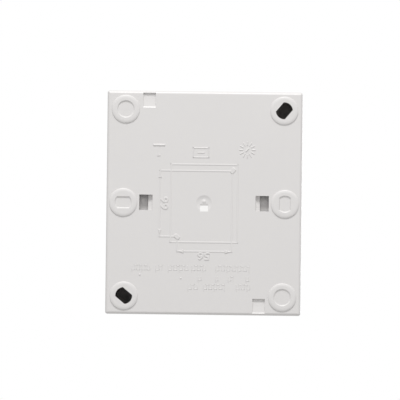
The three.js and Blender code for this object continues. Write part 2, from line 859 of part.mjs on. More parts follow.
const keyWell = modeTravel / 2 + modeKey.halfWidth + gap;
add('mode_switch_body', cut(
  block(
    modeSwitch.x - modeSwitch.halfWidth, modeSwitch.x + modeSwitch.halfWidth,
    modeSwitch.z - modeSwitch.halfHeight, modeSwitch.z + modeSwitch.halfHeight,
    modeSwitch.back, coverInside - 0.4,
  ),
  block(
    modeSwitch.x - keyWell, modeSwitch.x + keyWell,
    modeSwitch.z - modeSlotHalfHeight, modeSwitch.z + modeSlotHalfHeight, 22, coverInside + 1,
  ),
), darkPlastic);

// The slider rests at the left end of its travel. Two ridges stand on its key.
const sliderX = modeSwitch.x - modeTravel / 2;
const sliderLow = modeSwitch.z - modeKey.halfHeight;
const sliderHigh = modeSwitch.z + modeKey.halfHeight;
const sliderLeft = sliderX - modeKey.halfWidth;
const sliderRight = sliderX + modeKey.halfWidth;
const ridgeFront = caseDepth + 1.6;
add('mode_switch_slider', join(
  block(sliderLeft, sliderRight, sliderLow, sliderHigh, 22.3, caseDepth + 1),
  block(sliderLeft, sliderLeft + modeKey.ridge, sliderLow, sliderHigh, caseDepth - 1, ridgeFront),
  block(sliderRight - modeKey.ridge, sliderRight, sliderLow, sliderHigh, caseDepth - 1, ridgeFront),
), darkPlastic);

add('indicator_lamp', turned(lamp.x, lamp.z, [
  [0, lamp.back],
  [lamp.radius, lamp.back],
  [lamp.radius, lamp.back + 2.6],
  [lamp.radius - 0.3, lamp.back + 3],
  [lamp.radius - 0.3, lamp.back + 7.6],
  [lamp.radius - 0.8, lamp.back + 9],
  [0, lamp.back + 9.6],
], 16), glass);

// ---------------------------------------------------------------- heater and wires

const resistor = { x: 7.6, depth: 9, bottom: -15.5, top: -8.5, radius: 1.2, lead: 2, leadRadius: 0.35 };
add('anticipator_resistor', join(
  barAlongZ(resistor.bottom, resistor.top, resistor.radius, resistor.x, resistor.depth, 14),
  barAlongZ(
    resistor.bottom - resistor.lead, resistor.top + resistor.lead, resistor.leadRadius,
    resistor.x, resistor.depth, 8,
  ),
), ceramic);

// Each wire runs through [x, z, depth] points, up to the face of what it enters.
const wireRadius = 0.6;
const blockEntry = terminalTop + gap;
const switchExit = contactHeight - snapSwitch.halfHeight - gap - 0.05;
const innerTerminal = terminalX(2);
const outerTerminal = terminalX(3);
const wires = [
  ['wire_common', wireBlack, [
    [-1.4, switchExit, 8], [-1.5, -22, 8.2], [-2.9, -24, 7.6], [-innerTerminal, blockEntry, wireLevel],
  ]],
  ['wire_heating', wireBrown, [
    [1.4, switchExit, 8], [1.5, -22, 8.2], [2.9, -24, 7.6], [innerTerminal, blockEntry, wireLevel],
  ]],
  ['wire_lamp', wireBlue, [
    [outerTerminal, blockEntry, wireLevel], [11.5, -24, 7.4], [16, -23.5, 11], [lamp.x, -26, 15],
    [lamp.x, lamp.z + lamp.radius + gap, 15.3],
  ]],
  ['wire_mode', wireBlack, [
    [-outerTerminal, blockEntry, wireLevel], [-11.5, -24, 7.6], [-16, -23.4, 12], [-21, -24.5, 18],
    [-23, modeSwitch.z + modeSwitch.halfHeight + gap, 19.4],
  ]],
];
for (const [name, finish, points] of wires) {
  add(name, tube(points, wireRadius, 10), finish);
}

export default thermostat;
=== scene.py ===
"""Looks of a wall thermostat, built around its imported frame. Lengths in the helpers are millimetres,
and "depth" is the distance from the wall, measured towards -Y, as in the model itself."""

import json
import math

import bmesh
import bpy
from mathutils import Matrix, Vector


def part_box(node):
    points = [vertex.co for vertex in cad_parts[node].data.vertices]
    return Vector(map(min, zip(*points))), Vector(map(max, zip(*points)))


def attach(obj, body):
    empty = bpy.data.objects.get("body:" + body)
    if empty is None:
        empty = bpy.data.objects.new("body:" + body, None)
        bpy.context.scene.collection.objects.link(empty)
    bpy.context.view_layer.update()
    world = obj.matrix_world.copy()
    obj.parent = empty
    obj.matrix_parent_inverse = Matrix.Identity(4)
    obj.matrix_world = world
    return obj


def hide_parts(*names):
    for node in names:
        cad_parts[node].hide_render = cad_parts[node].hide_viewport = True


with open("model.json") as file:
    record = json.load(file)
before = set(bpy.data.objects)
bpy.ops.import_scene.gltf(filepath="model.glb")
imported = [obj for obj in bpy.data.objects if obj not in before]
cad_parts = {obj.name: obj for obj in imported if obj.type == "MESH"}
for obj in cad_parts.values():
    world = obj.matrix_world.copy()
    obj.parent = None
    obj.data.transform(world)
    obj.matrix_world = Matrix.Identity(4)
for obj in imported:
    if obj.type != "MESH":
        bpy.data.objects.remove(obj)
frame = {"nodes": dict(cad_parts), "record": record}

MM = 0.001
RECORD = frame["record"]
NODE_BODY = {
    node: body for body, nodes in RECORD["behaviour"]["bodies"].items() for node in nodes
}
NODE_SLOT = {part["node"]: part["material_slot"] for part in RECORD["subparts"]}
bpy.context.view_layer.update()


def node_box(node):
    """A node's box as lowest and highest x, z and depth, in millimetres."""
    low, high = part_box(node)
    return {
        "x": (low[0] / MM, high[0] / MM),
        "z": (low[2] / MM, high[2] / MM),
        "depth": (-high[1] / MM, -low[1] / MM),
    }


BASE = node_box("base_plate")
COVER = node_box("front_cover")
RING = node_box("scale_ring")
DIAL = node_box("setpoint_dial")
SLIDER = node_box("mode_switch_slider")
LENS = node_box("indicator_lens")

HALF_WIDTH = BASE["x"][1]
HALF_HEIGHT = BASE["z"][1]
CORNER = 0.8  # radius of the case's corners, as seen from behind
SMALLEST_CORNER = 0.12
PAD_RISE = 0.5  # how far the pads stand off the plate, so the plate's own depth
PLATE_INSIDE = 2.5
BASE_RIM = 9.5
SEAM = 0.3  # gap between the base's rim and the cover's
WALL = 1.8
CASE_FRONT = COVER["depth"][1]
DIAL_AXIS = (RING["z"][0] + RING["z"][1]) / 2

OVERSHOOT = 1  # how far a cutter reaches past the faces it cuts
SKIN = 0.05  # how far a printed or raised mark is sunk in, so that it doesn't float
TEXT_SIZE = 1.38  # text size in Blender per height of a figure
ON_AXIS = 1e-6  # a radius below this counts as a point on the axis


# ---------------------------------------------------------------- camera, light and floor

def build_camera():
    """Square on to the rear, from far enough away to be nearly free of perspective."""
    distance = 1.5
    field = 0.14136
    aim_x, aim_z = 0.00143, 0.00111
    roll_degrees = 0.7
    data = bpy.data.cameras.new("camera")
    data.sensor_width = 36
    data.lens = data.sensor_width * distance / field
    data.clip_start = 0.05
    data.clip_end = 20
    camera = bpy.data.objects.new("camera", data)
    bpy.context.scene.collection.objects.link(camera)
    camera.location = (aim_x, distance, aim_z)
    facing = Vector((0, -1, 0)).to_track_quat("-Z", "Y").to_matrix().to_4x4()
    roll = Matrix.Rotation(math.radians(roll_degrees), 4, "Z")
    camera.matrix_world = Matrix.Translation(camera.location) @ facing @ roll
    bpy.context.scene.camera = camera


def build_light():
    """A white backdrop that lights the object less than it shows, and three soft round lamps."""
    light_from_backdrop = 0.565
    brightness_of_backdrop = 1.0
    scene = bpy.context.scene
    scene.view_settings.view_transform = "Standard"
    world = bpy.data.worlds.new("studio")
    scene.world = world
    world.use_nodes = True
    nodes = world.node_tree.nodes
    links = world.node_tree.links
    background = nodes["Background"]
    background.inputs["Color"].default_value = (1, 1, 1, 1)
    seen = nodes.new("ShaderNodeLightPath")
    strength = nodes.new("ShaderNodeMapRange")
    strength.inputs["To Min"].default_value = light_from_backdrop
    strength.inputs["To Max"].default_value = brightness_of_backdrop
    links.new(seen.outputs["Is Camera Ray"], strength.inputs["Value"])
    links.new(strength.outputs["Result"], background.inputs["Strength"])

    for name, place, size, power in (
        ("key_behind", (0.03, 0.68, 1.12), 0.4, 12.0),
        ("fill_behind", (0.0, 1.6, 0.6), 0.7, 1.95),
        ("key_front", (-0.7, -1.25, 0.2), 0.6, 6.5),
    ):
        data = bpy.data.lights.new(name, "AREA")
        data.shape = "DISK"
        data.size = size
        data.energy = power
        lamp = bpy.data.objects.new(name, data)
        scene.collection.objects.link(lamp)
        lamp.location = place
        lamp.rotation_euler = (-Vector(place)).to_track_quat("-Z", "Y").to_euler()


def build_floor():
    """A pale round floor, low enough for the object to be seen from below as well."""
    radius, thickness = 7000, 12
    drop = 0.95
    floor = revolve("studio_floor", plug(radius, 0, thickness), 128, along="z")
    floor.location = (0, 0, -drop)
    floor.data.materials.append(moulded("floor_paint", (0.8, 0.8, 0.796), 0.75, 2.0, 0.05))


# ---------------------------------------------------------------- mesh helpers

def new_object(name, mesh):
    piece = bpy.data.objects.new(name, mesh)
    bpy.context.scene.collection.objects.link(piece)
    return piece


def from_bmesh(name, shape):
    bmesh.ops.recalc_face_normals(shape, faces=shape.faces)
    mesh = bpy.data.meshes.new(name)
    shape.to_mesh(mesh)
    shape.free()
    return new_object(name, mesh)


def point(x, depth, z):
    return (x * MM, -depth * MM, z * MM)


def loft(name, loops):
    """A closed skin through loops of equal length, each a list of points, with flat ends."""
    shape = bmesh.new()
    rings = [[shape.verts.new(co) for co in loop] for loop in loops]
    count = len(rings[0])
    for ring, following in zip(rings, rings[1:]):
        for index in range(count):
            after = (index + 1) % count
            shape.faces.new((ring[index], ring[after], following[after], following[index]))
    shape.faces.new(rings[0])
    shape.faces.new(rings[-1])
    return from_bmesh(name, shape)


def prism(name, outline, near, far, taper=None):
    """An (x, z) outline from one depth to another; taper is the outline at the far depth if it differs."""
    return loft(name, [
        [point(x, near, z) for x, z in outline],
        [point(x, far, z) for x, z in (taper or outline)],
    ])


def box(name, left, right, bottom, top, near, far):
    return prism(name, [(left, bottom), (right, bottom), (right, top), (left, top)], near, far)


def middle_of(sides):
    """The middle of a node's box as x and z."""
    return sum(sides["x"]) / 2, sum(sides["z"]) / 2


def plug(radius, near, far):
    """The profile of a plain round post."""
    return [(0, near), (radius, near), (radius, far), (0, far)]


def revolve(name, profile, segments, x=0.0, z=0.0, along="y"):
    """A turned piece from (radius, depth) pairs. A profile that ends off the axis closes on itself.
    Along z the second number is a height instead of a depth."""
    shape = bmesh.new()
    rings = []
    for radius, depth in profile:
        turns = [0.0]
        if radius > ON_AXIS:
            turns = [2 * math.pi * step / segments for step in range(segments)]
        ring = []
        for turn in turns:
            across, up = radius * math.cos(turn), radius * math.sin(turn)
            if along == "z":
                spot = (across * MM, up * MM, depth * MM)
            else:
                spot = point(x + across, depth, z + up)
            ring.append(shape.verts.new(spot))
        rings.append(ring)
    closed = len(rings[0]) > 1 or len(rings[-1]) > 1
    pairs = list(zip(rings, rings[1:]))
    if closed:
        pairs.append((rings[-1], rings[0]))
    for ring, following in pairs:
        join_rings(shape, ring, following, segments)
    return from_bmesh(name, shape)


def join_rings(shape, ring, following, segments):
    """Faces between two rings of corners, either of which may be a single corner on the axis."""
    for index in range(segments):
        after = (index + 1) % segments
        corners = []
        for loop, step in ((ring, index), (ring, after), (following, after), (following, index)):
            corner = loop[step % len(loop)]
            if corner not in corners:
                corners.append(corner)
        if len(corners) > 2:
            shape.faces.new(corners)


def rounded_rectangle(half_x, half_z, radius, steps=6):
    corners = ((1, 1, 0), (-1, 1, 90), (-1, -1, 180), (1, -1, 270))
    outline = []
    for side_x, side_z, start in corners:
        centre_x = side_x * (half_x - radius)
        centre_z = side_z * (half_z - radius)
        for step in range(steps + 1):
            turn = math.radians(start + 90 * step / steps)
            outline.append((centre_x + radius * math.cos(turn), centre_z + radius * math.sin(turn)))
    return outline


def circle(x, z, radius, segments=72):
    turns = (2 * math.pi * step / segments for step in range(segments))
    return [(x + radius * math.cos(turn), z + radius * math.sin(turn)) for turn in turns]


def double_d(x, z, radius, flats, degrees, steps=10):
    """A circle with two flats, its long axis at an angle from +X towards +Z."""
    half = math.asin(flats / 2 / radius)
    outline = []
    for middle in (0, math.pi):
        for step in range(steps + 1):
            turn = middle - half + 2 * half * step / steps
            across, up = radius * math.cos(turn), radius * math.sin(turn)
            lean = math.radians(degrees)
            outline.append((
                x + across * math.cos(lean) - up * math.sin(lean),
                z + across * math.sin(lean) + up * math.cos(lean),
            ))
    return outline


def combine(target, others, operation):
    """Joins or cuts the target with the others and drops them."""
    tools = bpy.data.collections.new("tools")
    bpy.context.scene.collection.children.link(tools)
    for other in others:
        bpy.context.scene.collection.objects.unlink(other)
        tools.objects.link(other)
    modifier = target.modifiers.new("combine", "BOOLEAN")
    modifier.operation = operation
    modifier.operand_type = "COLLECTION"
    modifier.collection = tools
    modifier.solver = "EXACT"
    bake(target)
    for other in others:
        bpy.data.objects.remove(other)
    bpy.data.collections.remove(tools)


def bake(piece):
    """Turns the piece's modifiers into its mesh."""
    graph = bpy.context.evaluated_depsgraph_get()
    mesh = bpy.data.meshes.new_from_object(piece.evaluated_get(graph), depsgraph=graph)
    piece.modifiers.clear()
    piece.data = mesh


def soften(piece, width, segments=2, angle=34):
    """Rounds the edges sharper than an angle by a width in millimetres and shades the rest smooth."""
    weld_gap = 0.002
    flat_angle = 0.6
    crease_angle = 50
    shape = bmesh.new()
    shape.from_mesh(piece.data)
    bmesh.ops.remove_doubles(shape, verts=shape.verts, dist=weld_gap * MM)
    bmesh.ops.dissolve_limit(
        shape, angle_limit=math.radians(flat_angle), verts=shape.verts, edges=shape.edges,
    )
    shape.to_mesh(piece.data)
    shape.free()
    if width:
        bevel = piece.modifiers.new("bevel", "BEVEL")
        bevel.width = width * MM
        bevel.segments = segments
        bevel.limit_method = "ANGLE"
        bevel.angle_limit = math.radians(angle)
        bevel.use_clamp_overlap = True
        bevel.harden_normals = False
        bevel.miter_outer = "MITER_ARC"
    for face in piece.data.polygons:
        face.use_smooth = True
    bake(piece)
    piece.data.set_sharp_from_angle(angle=math.radians(crease_angle))
    weighted = piece.modifiers.new("weighted", "WEIGHTED_NORMAL")
    weighted.keep_sharp = True
    weighted.weight = 100
    bake(piece)
    return piece


def place(piece, material, node=None, body=None):
    """Gives the piece its material and puts it on its body, in the place of a node if one is named."""
    piece.data.materials.clear()
    piece.data.materials.append(material)
    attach(piece, body or NODE_BODY[node])
    if node:
        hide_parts(node)
    return piece


# ---------------------------------------------------------------- materials

def noise(nodes, coordinates, links, scale, detail=3.0, stretch=(1, 1, 1)):
    """A noise value, its scale in waves per metre."""
    mapping = nodes.new("ShaderNodeMapping")
    mapping.inputs["Scale"].default_value = stretch
    texture = nodes.new("ShaderNodeTexNoise")
    texture.inputs["Scale"].default_value = scale
    texture.inputs["Detail"].default_value = detail
    links.new(coordinates, mapping.inputs["Vector"])
    links.new(mapping.outputs["Vector"], texture.inputs["Vector"])
    return texture.outputs["Fac"]


def shaded(
        name, colour, roughness, grain, depth, mottle=0.03, metallic=0.0, stretch=(1, 1, 1), vary=0.08):
    """A surface whose colour drifts slowly, with a fine grain of a size and depth in millimetres, a gloss
    that changes with the grain, and a faint broad wave."""
    drift_scale, wave_scale = 45, 160
    wave_strength, wave_depth = 0.15, 0.05
    grain_strength = 0.6
    material = bpy.data.materials.new(name)
    material.use_nodes = True
    nodes = material.node_tree.nodes
    links = material.node_tree.links
    shader = nodes["Principled BSDF"]
    coordinates = nodes.new("ShaderNodeTexCoord").outputs["Object"]
    slow = noise(nodes, coordinates, links, drift_scale, 2.0)
    fine = noise(nodes, coordinates, links, 1 / (grain * MM), 3.0, stretch)
    broad = noise(nodes, coordinates, links, wave_scale, 2.0)

    tint = nodes.new("ShaderNodeMix")
    tint.data_type = "RGBA"
    tint.inputs["A"].default_value = (*[c * (1 - mottle) for c in colour], 1)
    tint.inputs["B"].default_value = (*[min(c * (1 + mottle), 1) for c in colour], 1)
    links.new(slow, tint.inputs["Factor"])
    links.new(tint.outputs["Result"], shader.inputs["Base Color"])

    gloss = nodes.new("ShaderNodeMapRange")
    gloss.inputs["From Min"].default_value = 0.3
    gloss.inputs["From Max"].default_value = 0.7
    gloss.inputs["To Min"].default_value = max(roughness - vary, 0.02)
    gloss.inputs["To Max"].default_value = min(roughness + vary, 1)
    links.new(fine, gloss.inputs["Value"])
    links.new(gloss.outputs["Result"], shader.inputs["Roughness"])

    wave = nodes.new("ShaderNodeBump")
    wave.inputs["Strength"].default_value = wave_strength
    wave.inputs["Distance"].default_value = wave_depth * MM
    links.new(broad, wave.inputs["Height"])
    bump = nodes.new("ShaderNodeBump")
    bump.inputs["Strength"].default_value = grain_strength
    bump.inputs["Distance"].default_value = depth * MM
    links.new(fine, bump.inputs["Height"])
    links.new(wave.outputs["Normal"], bump.inputs["Normal"])
    links.new(bump.outputs["Normal"], shader.inputs["Normal"])
    shader.inputs["Metallic"].default_value = metallic
    return material


def moulded(name, colour, roughness, grain=0.35, depth=0.006):
    return shaded(name, colour, roughness, grain, depth, mottle=0.012)


def metal(name, colour, roughness, stretch=(1, 1, 1)):
    return shaded(name, colour, roughness, 0.2, 0.004, mottle=0.06, metallic=1.0, stretch=stretch)


def clear(name, colour, roughness, transmission):
    material = shaded(name, colour, roughness, 0.8, 0.002, vary=0.02)
    shader = material.node_tree.nodes["Principled BSDF"]
    shader.inputs["Transmission Weight"].default_value = transmission
    shader.inputs["IOR"].default_value = 1.49
    return material


# ---------------------------------------------------------------- rear plate

FIXING_X = 28.0
FIXING_Z = 33.0
MIDDLE_X = 28.6  # of the two pads at half height
PAD_RADIUS = 5.0
HOLE_RADIUS = 3.0
HOLE_FLATS = 4.2  # across the flats of a hole
DRAFT = 0.4  # how much smaller a blind hole's radius is at its floor
WINDOW_X = (18.2, 22.9)
WINDOW_Z = (-2.65, 2.8)


def rounded_case(name, near, far, radius, round_near, steps=6):
    """The case outline from one depth to another, with its long edges rounded at one end."""
    loops = []
    for step in range(steps + 1):
        turn = (step / steps) * math.pi / 2
        inset = radius * (1 - math.sin(turn))
        along = radius * (1 - math.cos(turn))
        depth = near + along if round_near else far - along
        outline = rounded_rectangle(
            HALF_WIDTH - inset, HALF_HEIGHT - inset, max(CORNER - inset, SMALLEST_CORNER),
        )
        loops.append([point(x, depth, z) for x, z in outline])
    square = far if round_near else near
    loops.append([point(x, square, z) for x, z in rounded_rectangle(HALF_WIDTH, HALF_HEIGHT, CORNER)])
    return loft(name, loops)


def pad(x, z):
    """A raised round pad whose rim is rolled over onto the plate."""
    root = PLATE_INSIDE - 1
    rolled_rim = ((0, PAD_RISE), (0.11, 0.2), (0.35, 0.1), (0.8, 0.03), (1.15, 0))
    profile = [(0, root), (PAD_RADIUS, root)]
    profile += [(PAD_RADIUS - inset, depth) for inset, depth in rolled_rim]
    profile.append((0, 0))
    return revolve("pad", profile, 96, x, z)


def tongue(side):
    """The latch tongue in a window. Its visible face sinks away from the window's edge and further at
    the top than at the bottom; behind it stands a blade with a step, beside the cover's hook."""
    behind = [
        (18.95, 3.3), (18.95, 5.6), (19.35, 6.0), (19.35, 7.2), (18.9, 8.2), (18.0, 8.2),
        (18.0, PLATE_INSIDE), (17.9, PLATE_INSIDE),
    ]
    overlap = 0.4
    sink_at_top = 0.75
    loops = []
    for level, sink in ((WINDOW_Z[0] - overlap, 0), (WINDOW_Z[1] + overlap, sink_at_top)):
        face = [(17.9, 0.85 + sink), (18.35, 1.2 + sink), (19.75, 1.6 + sink), (19.75, 2.9)]
        loops.append([point(side * x, depth, level) for x, depth in face + behind])
    return loft("tongue", loops)


def build_base():
    """The rear shell with its lip, pads, holes, pockets, tongues and the supports of what it carries."""
    rear_edge = 1.05
    base_wall = 3.0
    material = moulded("case_plastic", (0.716, 0.699, 0.690), 0.42)
    base = rounded_case("rear_shell", PAD_RISE, BASE_RIM, rear_edge, True)
    inner_x, inner_z = HALF_WIDTH - base_wall, HALF_HEIGHT - base_wall
    combine(base, [box(
        "cavity", -inner_x, inner_x, -inner_z, inner_z, PLATE_INSIDE, BASE_RIM + OVERSHOOT,
    )], "DIFFERENCE")

    # The lip reaches into the cover, all round just inside its walls.
    lip_gap, lip_wall, lip_corner = 0.3, 1, 0.5
    lip_root, lip_top = BASE_RIM - 1, BASE_RIM + 1.3
    lip_x = HALF_WIDTH - WALL - lip_gap
    lip_z = HALF_HEIGHT - WALL - lip_gap
    hollow_x, hollow_z = lip_x - lip_wall, lip_z - lip_wall
    lip = prism("lip", rounded_rectangle(lip_x, lip_z, lip_corner), lip_root, lip_top)
    combine(lip, [box(
        "hollow", -hollow_x, hollow_x, -hollow_z, hollow_z, lip_root - OVERSHOOT, lip_top + OVERSHOOT,
    )], "DIFFERENCE")

    added = [lip]
    for side in (-1, 1):
        added.append(pad(side * MIDDLE_X, 0))
        for level in (-1, 1):
            added.append(pad(side * FIXING_X, level * FIXING_Z))
    combine(base, added, "UNION")

    # Two slots for the fixing screws go right through, four knock-outs are blind: two round ones in the
    # other corners and two flattened ones at half height.
    through = (-OVERSHOOT, PLATE_INSIDE + OVERSHOOT)
    blind = (-0.001, 0.42)
    round_radius = HOLE_RADIUS + 0.1
    flat_radius, flats = HOLE_RADIUS + 0.05, HOLE_FLATS + 0.1
    cutters = []
    for x, z, degrees in ((-FIXING_X, FIXING_Z, 130), (FIXING_X, -FIXING_Z, 40)):
        cutters.append(prism("slot", double_d(x, z, HOLE_RADIUS, HOLE_FLATS, degrees), *through))
    for side in (-1, 1):
        x, z = side * FIXING_X, side * FIXING_Z
        cutters.append(prism(
            "blind", circle(x, z, round_radius), *blind, circle(x, z, round_radius - DRAFT),
        ))
        x = side * MIDDLE_X
        degrees = 0 if side > 0 else 90
        cutters.append(prism(
            "blind", double_d(x, 0, flat_radius, flats, degrees), *blind,
            double_d(x, 0, flat_radius - DRAFT, flats - 2 * DRAFT, degrees),
        ))
        window = sorted(side * edge for edge in WINDOW_X)
        cutters.append(box("window", *window, *WINDOW_Z, *through))
        cutters.append(pocket(side))
    cutters += [gate_dish(), gate_slope(
        "shear", [(-3.05, -0.1), (-2.98, -0.01), (-0.9, 0.5), (-0.45, 0.34), (-0.45, -0.1)],
    )]
    combine(base, cutters, "DIFFERENCE")

    combine(base, [tongue(-1), tongue(1), *frame_supports()], "UNION")
    soften(base, 0.12)
    place(base, material, "base_plate")

    # A lighter copy of the case plastic lies on the gate's up-facing slope. It is a painted highlight that
    # brightens the slope as the light from above does.
    scar = gate_slope("gate_highlight_slab", [(-2.95, -0.01), (-0.95, 0.48), (-0.95, 0.6), (-2.95, 0.1)])
    place(scar, moulded("gate_highlight_plastic", (0.81, 0.80, 0.79), 0.5), body="base")
    return material


def pocket(side):
    """A pocket near the upper or lower edge. Its floor is deepest at the top, rises gently and runs out
    in a short slope at the lower end."""
    left, right = sorted((side * 17.5, side * 21.9))
    top, bottom = (38.85, 33.5) if side > 0 else (-33.6, -38.95)
    outside = PAD_RISE - 0.4
    outline = [
        (top, outside), (top, PAD_RISE + 0.6), (top - 0.2, PAD_RISE + 0.78),
        (bottom + 0.8, PAD_RISE + 0.52), (bottom - 0.5, outside),
    ]
    return loft("pocket", [
        [point(x, depth, z) for z, depth in outline] for x in (left, right)
    ])


def gate_dish():
    """The dished gate in the middle of the plate: a shallow bowl round a small nub."""
    nub = 0.55  # level of the nub's axis above the bowl's
    loops = []
    for radius, middle, sink in (
        (2.85, 0, -0.01), (2.75, 0, 0.03), (2.6, 0, 0.08), (2.1, 0.05, 0.22), (1.6, 0.15, 0.3),
        (0.85, nub, 0.33), (0.7, nub, 0.3), (0.35, nub, 0.08), (0.15, nub, 0.05),
    ):
        loops.append([point(x, PAD_RISE + sink, z) for x, z in circle(0, middle, radius, 48)])
    return loft("dish", loops)


def gate_slope(name, outline, left=-1.43, right=1.4):
    """The slope where the gate was sheared off, from (level, depth below the plate) pairs."""
    return loft(name, [
        [point(x, PAD_RISE + sink, z) for z, sink in outline] for x in (left, right)
    ])


def frame_supports():
    """Bosses and rests under the steel frame, ribs under the mode switch and the lamp's post."""
    root = PLATE_INSIDE - 0.5
    frame_x, frame_top, frame_bottom, frame_depth = 9, 24, -19.5, 5.5
    boss_radius, bore_radius, bore_floor = 3, 1.55, 3
    rest_radius = 1.5
    rib_spread, rib_half, rib_reach, rib_end = 3.6, 0.75, 4, 17.7
    post_radius, post_end = 2.4, 13.7

    boss = [
        (0, root), (boss_radius, root), (boss_radius, frame_depth), (bore_radius, frame_depth),
        (bore_radius, bore_floor), (0, bore_floor),
    ]
    posts = [
        revolve("boss", boss, 40, -frame_x, frame_top),
        revolve("boss", boss, 40, frame_x, frame_bottom),
        revolve("rest", plug(rest_radius, root, frame_depth), 24, frame_x, frame_top),
        revolve("rest", plug(rest_radius, root, frame_depth), 24, -frame_x, frame_bottom),
    ]
    x, z = middle_of(node_box("mode_switch_body"))
    for rib_x in (x - rib_spread, x + rib_spread):
        posts.append(box(
            "rib", rib_x - rib_half, rib_x + rib_half, z - rib_reach, z + rib_reach, root, rib_end,
        ))
    posts.append(revolve(
        "post", plug(post_radius, root, post_end), 32, *middle_of(node_box("indicator_lamp")),
    ))
    return posts


# ---------------------------------------------------------------- raised drilling sketch

SKETCH_RISE = 0.11
MARK_ROOT = PAD_RISE + 0.02  # where the marks and figures start, just inside the plate


def bar(x1, z1, x2, z2, width=0.56, rise=SKETCH_RISE):
    """A low rib with sloping sides on the plate between two points. An upright rib is a hair lower, so
    that no two tops lie in one plane where they cross."""
    hair = 0.012
    start, end = Vector((x1, z1)), Vector((x2, z2))
    along = (end - start).normalized()
    across = Vector((-along.y, along.x))
    if abs(along.y) > abs(along.x):
        rise -= hair
    loops = []
    for depth, inset in ((PAD_RISE + SKIN, 0.0), (PAD_RISE, 0.0), (PAD_RISE - rise, rise)):
        half = width / 2 - inset
        corners = (
            start - along * half + across * half, start - along * half - across * half,
            end + along * half - across * half, end + along * half + across * half,
        )
        loops.append([point(corner.x, depth, corner.y) for corner in corners])
    return loft("bar", loops)


def flat_mark(outline, rise=SKETCH_RISE):
    """A low mark on the plate, its top smaller than its foot."""
    middle_x = sum(x for x, z in outline) / len(outline)
    middle_z = sum(z for x, z in outline) / len(outline)
    reach = min(math.hypot(x - middle_x, z - middle_z) for x, z in outline)
    shrink = 1 - rise / reach
    top = [
        (middle_x + (x - middle_x) * shrink, middle_z + (z - middle_z) * shrink) for x, z in outline
    ]
    return prism("mark", outline, MARK_ROOT, PAD_RISE - rise, top)


def numeral(text, x, z, height, degrees):
    """Raised figures, a little wider than the font's, turned by an angle as seen from behind."""
    curve = text_curve("numeral", text, height)
    curve.extrude = 0.11 * MM
    curve.bevel_depth = 0.12 * MM
    curve.bevel_resolution = 0
    curve.offset = 0.01 * MM
    widen = 1.22
    letter = new_object("numeral", curve)
    upright = Matrix(((-1, 0, 0, 0), (0, 0, 1, 0), (0, 1, 0, 0), (0, 0, 0, 1)))
    turn = Matrix.Rotation(math.radians(degrees), 4, "Z") @ Matrix.Diagonal((widen, 1, 1, 1))
    centre = Matrix.Translation(point(x, MARK_ROOT, z))
    letter.matrix_world = centre @ upright @ turn
    return as_mesh(letter)


def text_curve(name, text, height):
    curve = bpy.data.curves.new(name, "FONT")
    curve.body = text
    curve.size = height * TEXT_SIZE * MM
    curve.align_x = "CENTER"
    curve.align_y = "CENTER"
    return curve


def as_mesh(source):
    """A curve or text object turned into a plain mesh object at the origin."""
    graph = bpy.context.evaluated_depsgraph_get()
    graph.update()
    mesh = bpy.data.meshes.new_from_object(source.evaluated_get(graph), depsgraph=graph)
    mesh.transform(source.matrix_world)
    piece = new_object(source.name, mesh)
    bpy.data.objects.remove(source)
    return piece


def merge(name, pieces):
    """Puts several pieces in one object."""
    weld_gap = 0.0005
    shape = bmesh.new()
    for piece in pieces:
        piece.data.transform(piece.matrix_world)
        shape.from_mesh(piece.data)
        bpy.data.objects.remove(piece)
    bmesh.ops.remove_doubles(shape, verts=shape.verts, dist=weld_gap * MM)
    return from_bmesh(name, shape)


